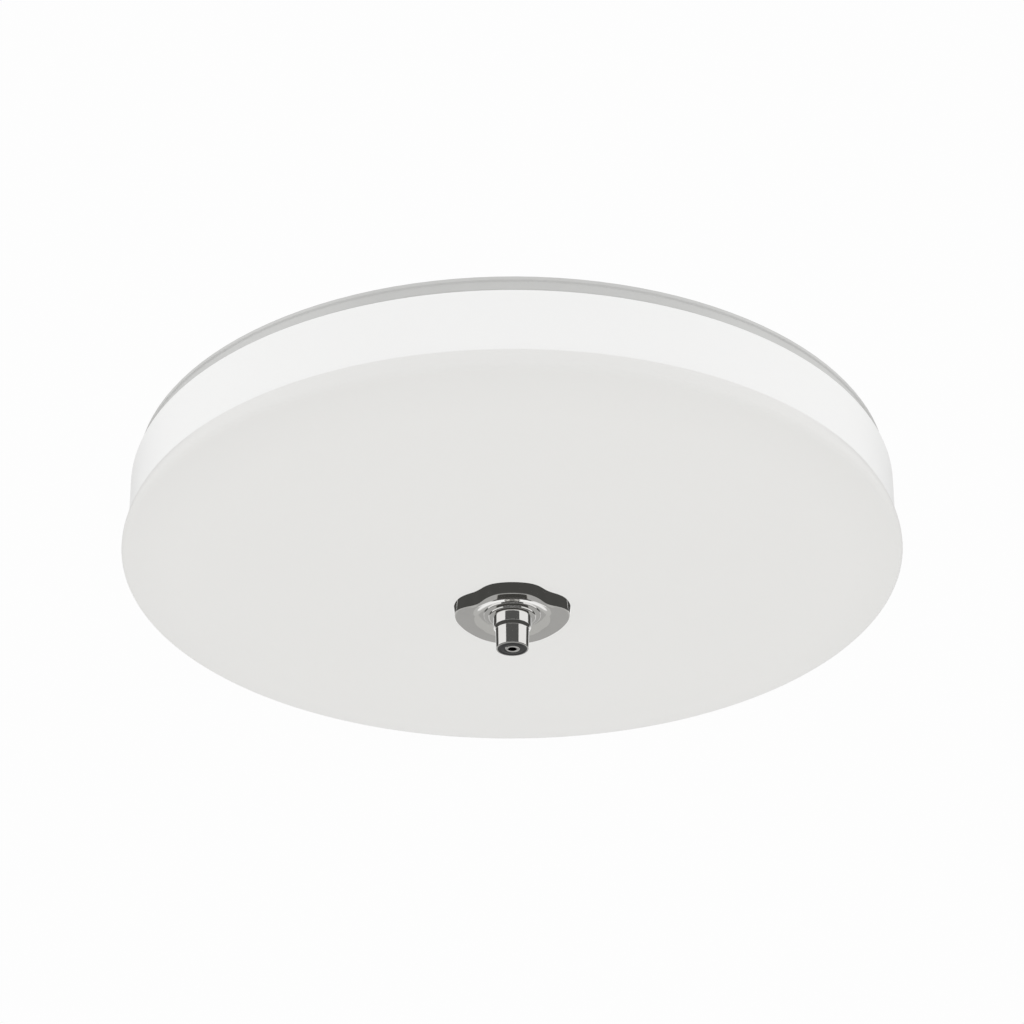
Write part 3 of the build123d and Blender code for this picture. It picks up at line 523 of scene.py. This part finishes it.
for height, direction in ((rod["top"], 1), (knobEnd, -1)):
    bmesh.ops.bisect_plane(bm, geom=bm.verts[:] + bm.edges[:] + bm.faces[:], dist=1e-5,
                           plane_co=(0, 0, height), plane_no=(0, 0, direction), clear_outer=True)
boreRims = []
for height in (rod["top"], knobEnd):
    outer = [edge for edge in bm.edges if edge.is_boundary and abs(edge.verts[0].co.z - height) < 1e-3]
    bmesh.ops.create_circle(bm, segments=rod["boreSteps"], radius=rod["bore"],
                            matrix=Matrix.Translation((0, 0, height)))
    inner = [edge for edge in bm.edges if edge.is_wire]
    bmesh.ops.bridge_loops(bm, edges=outer + inner)
    boreRims += inner
bmesh.ops.bridge_loops(bm, edges=boreRims)
bmesh.ops.recalc_face_normals(bm, faces=bm.faces)
keep("threadedRod", bm, "nickel", "ceiling_side", "centre_rod", smooth=rod["sharp"])
print("ring, knob, disc and rod made")


# Studio: pale floor, cards for the metal to mirror, white surroundings and two softboxes
studio = {
    "floor": -1.1, "floorRadius": 6, "floorColour": (0.88, 0.88, 0.875), "floorRoughness": 0.8,
    "ambient": 0.985, "backdrop": 0.985,
    "cardMiddle": -0.06, "cardSteps": (12, 24),            # steps up and round
}

bm = bmesh.new()
bmesh.ops.create_circle(bm, cap_ends=True, segments=96, radius=studio["floorRadius"],
                        matrix=Matrix.Translation((0, 0, studio["floor"])))
paleFloor = Finish("paleFloor", studio["floorColour"], studio["floorRoughness"])
floor = place("studioFloor", meshFrom("studioFloor", bm, paleFloor))

cards = {
    # azimuths from the camera's side, elevations, distance, colour: only glossy rays meet them
    "cardNear": (-130, 130, -55, 7, 0.62, (0.072, 0.072, 0.069)),
    "cardUnder": (-130, 130, -88, -55, 0.62, (0.24, 0.24, 0.235)),
    "cardFar": (130, 230, -88, -5, 0.62, (0.54, 0.54, 0.53)),
    "cardOpposite": (163, 197, -44, -17, 0.6, (0.44, 0.44, 0.435)),
    "cardAbove": (-44, 44, 14, 44, 0.62, (0.10, 0.10, 0.098)),
    "cardBehindLeft": (112, 154, 9, 44, 0.62, (0.075, 0.075, 0.072)),
    "cardBehindRight": (206, 248, 9, 44, 0.62, (0.075, 0.075, 0.072)),
}
for name, (first, last, low, high, distance, colour) in cards.items():
    bm = bmesh.new()
    top = bm.verts.new((distance, 0, 0))
    bmesh.ops.rotate(bm, verts=[top], cent=(0, 0, 0), matrix=Matrix.Rotation(math.radians(-high), 3, "Y"))
    arcOn(bm, top, (0, 0), math.radians(high - low), studio["cardSteps"][0])
    bmesh.ops.rotate(bm, verts=bm.verts, cent=(0, 0, 0),
                     matrix=Matrix.Rotation(math.radians(first - 90), 3, "Z"))
    bmesh.ops.spin(bm, geom=bm.verts[:] + bm.edges[:], cent=(0, 0, 0), axis=(0, 0, 1),
                   angle=math.radians(last - first), steps=studio["cardSteps"][1])
    bmesh.ops.translate(bm, vec=(0, 0, studio["cardMiddle"]), verts=bm.verts)
    finish = Finish(name, (0, 0, 0), 0.9, Specular_IOR_Level=0.0, Emission_Color=colour, Emission_Strength=1.0)
    card = place(name, meshFrom(name, bm, finish))
    card.visible_camera = card.visible_diffuse = card.visible_transmission = card.visible_shadow = False

mirrored = ("turnedKnob", "knobDisc", "threadedRod")       # the metal shows these and the cards
shadeless = (*mirrored, "lobedCap", "turnedRing")          # so the glass has no dark ring round them
for piece in scene.objects:
    if piece.type == "MESH" and piece is not floor and piece.name not in cards:
        piece.visible_glossy = piece.name in mirrored
        piece.visible_diffuse = piece.name not in shadeless

world = bpy.data.worlds.new("studio")
world.use_nodes = True
scene.world = world
sky = world.node_tree
background = sky.nodes["Background"]
rays = sky.nodes.new("ShaderNodeLightPath")
strength = sky.nodes.new("ShaderNodeMapRange")
seen = rays.outputs["Is Camera Ray"]
for kind in ("Is Glossy Ray", "Is Transmission Ray"):
    either = sky.nodes.new("ShaderNodeMath")
    either.operation = "MAXIMUM"
    sky.links.new(seen, either.inputs[0])
    sky.links.new(rays.outputs[kind], either.inputs[1])
    seen = either.outputs[0]
sky.links.new(seen, strength.inputs["Value"])
strength.inputs["To Min"].default_value = studio["ambient"]
strength.inputs["To Max"].default_value = studio["backdrop"]
sky.links.new(strength.outputs["Result"], background.inputs["Strength"])
background.inputs["Color"].default_value = (1, 1, 1, 1)

softboxes = {
    # azimuth from the camera's side, elevation, distance, width, height, power
    "leftBox": (-85, -30, 1.6, 1.2, 1.1, 1.3),
    "rightBox": (85, -30, 1.6, 1.2, 1.1, 1.3),
}
for name, (azimuth, elevation, distance, width, height, power) in softboxes.items():
    lamp = bpy.data.lights.new(name, "AREA")
    lamp.shape, lamp.size, lamp.size_y, lamp.energy = "RECTANGLE", width, height, power
    box = place(name, lamp)
    across, up = math.radians(azimuth), math.radians(elevation)
    away = Vector((math.sin(across) * math.cos(up), -math.cos(across) * math.cos(up), math.sin(up)))
    box.location = away * distance
    box.rotation_euler = away.to_track_quat("Z", "Y").to_euler()
print("studio set")
